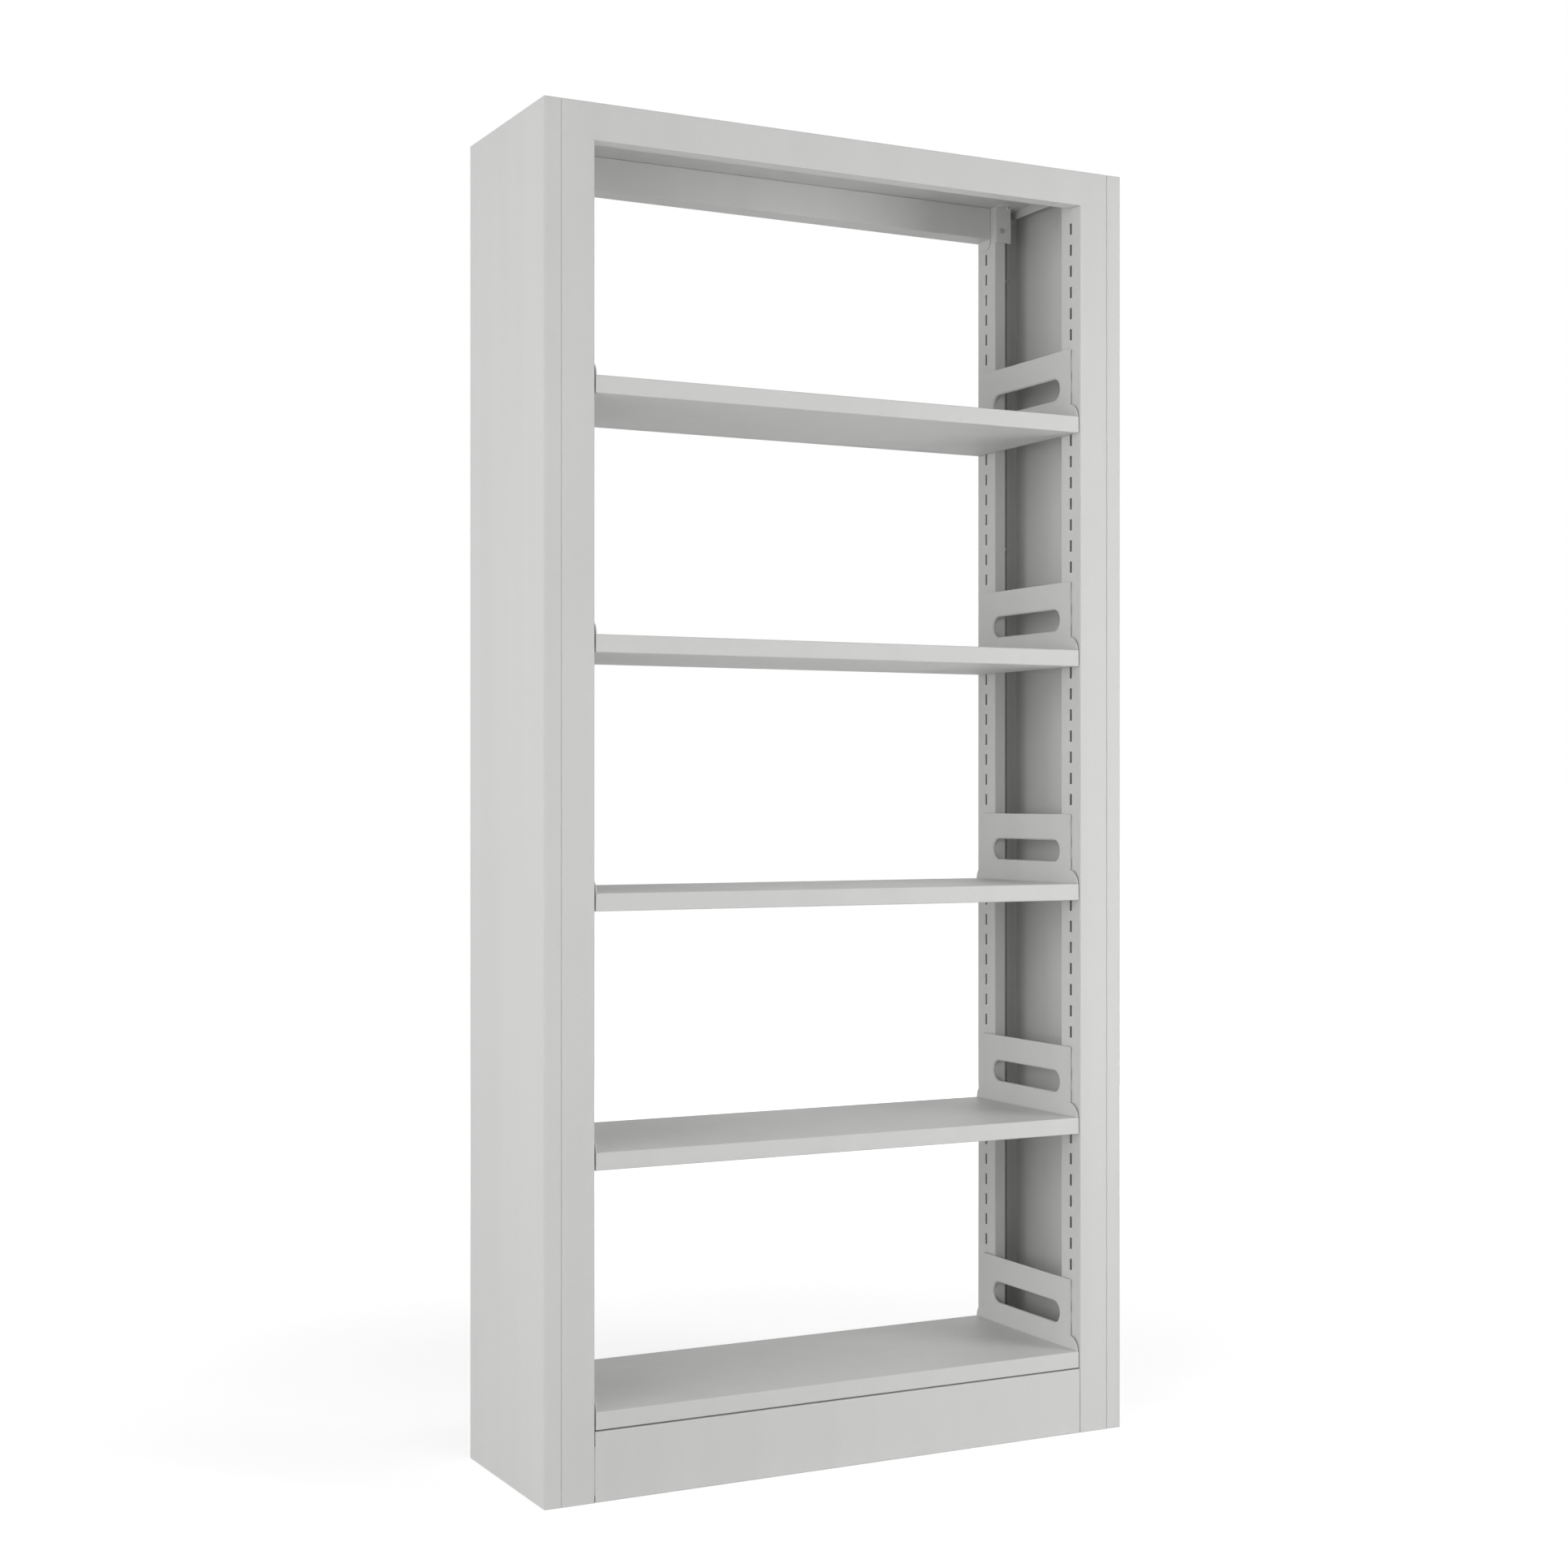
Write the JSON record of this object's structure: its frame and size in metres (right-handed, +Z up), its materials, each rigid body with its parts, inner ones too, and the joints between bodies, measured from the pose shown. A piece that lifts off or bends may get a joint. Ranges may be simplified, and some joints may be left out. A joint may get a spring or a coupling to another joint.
{
  "type": "bookshelf",
  "caption": "Single-sided steel bookshelf with slotted uprights, folded side panels and lipped shelves lifted off hooked brackets.",
  "frame": {"origin": "middle of the footprint on the floor", "axes": "+Z up, front towards -Y, left side towards -X"},
  "size_m": [0.988, 0.306, 2],
  "materials": {
    "powder_coat": "light grey powder coat, semi-matte",
    "zinc_plate": "zinc plated fasteners"
  },
  "bodies": {
    "frame": {"side_panel_left": "powder_coat", "side_panel_right": "powder_coat", "front_upright_left": "powder_coat", "front_upright_right": "powder_coat", "rear_upright_left": "powder_coat", "rear_upright_right": "powder_coat", "top_cover": "powder_coat", "rear_top_rail": "powder_coat", "top_angle_front_left": "powder_coat", "top_angle_front_right": "powder_coat", "top_angle_rear_left": "powder_coat", "top_angle_rear_right": "powder_coat", "kick_plate": "powder_coat", "rear_base_rail": "powder_coat", "floor_tie_left": "powder_coat", "floor_tie_right": "powder_coat", "seam_bolts": "zinc_plate", "seam_nuts": "zinc_plate", "tab_bolts": "zinc_plate", "tab_nuts": "zinc_plate", "lip_bolts": "zinc_plate", "lip_nuts": "zinc_plate", "cover_nuts": "zinc_plate"},
    "brackets_1": {"bracket_1_left": "powder_coat", "bracket_1_right": "powder_coat"},
    "shelf_1": {"shelf_board_1": "powder_coat", "shelf_pan_1": "powder_coat"},
    "brackets_2": {"bracket_2_left": "powder_coat", "bracket_2_right": "powder_coat"},
    "shelf_2": {"shelf_board_2": "powder_coat", "shelf_pan_2": "powder_coat"},
    "brackets_3": {"bracket_3_left": "powder_coat", "bracket_3_right": "powder_coat"},
    "shelf_3": {"shelf_board_3": "powder_coat", "shelf_pan_3": "powder_coat"},
    "brackets_4": {"bracket_4_left": "powder_coat", "bracket_4_right": "powder_coat"},
    "shelf_4": {"shelf_board_4": "powder_coat", "shelf_pan_4": "powder_coat"},
    "brackets_5": {"bracket_5_left": "powder_coat", "bracket_5_right": "powder_coat"},
    "shelf_5": {"shelf_board_5": "powder_coat", "shelf_pan_5": "powder_coat"}
  },
  "joints": [
    {"name": "unhook_1", "type": "slide", "parent": "frame", "child": "brackets_1", "axis": [0, 0, 1], "range_m": [0, 0.009]},
    {"name": "lift_shelf_1", "type": "slide", "parent": "brackets_1", "child": "shelf_1", "axis": [0, 0, 1], "range_m": [0, 0.14]},
    {"name": "unhook_2", "type": "slide", "parent": "frame", "child": "brackets_2", "axis": [0, 0, 1], "range_m": [0, 0.009]},
    {"name": "lift_shelf_2", "type": "slide", "parent": "brackets_2", "child": "shelf_2", "axis": [0, 0, 1], "range_m": [0, 0.14]},
    {"name": "unhook_3", "type": "slide", "parent": "frame", "child": "brackets_3", "axis": [0, 0, 1], "range_m": [0, 0.009]},
    {"name": "lift_shelf_3", "type": "slide", "parent": "brackets_3", "child": "shelf_3", "axis": [0, 0, 1], "range_m": [0, 0.14]},
    {"name": "unhook_4", "type": "slide", "parent": "frame", "child": "brackets_4", "axis": [0, 0, 1], "range_m": [0, 0.009]},
    {"name": "lift_shelf_4", "type": "slide", "parent": "brackets_4", "child": "shelf_4", "axis": [0, 0, 1], "range_m": [0, 0.14]},
    {"name": "unhook_5", "type": "slide", "parent": "frame", "child": "brackets_5", "axis": [0, 0, 1], "range_m": [0, 0.009]},
    {"name": "lift_shelf_5", "type": "slide", "parent": "brackets_5", "child": "shelf_5", "axis": [0, 0, 1], "range_m": [0, 0.14]}
  ]
}
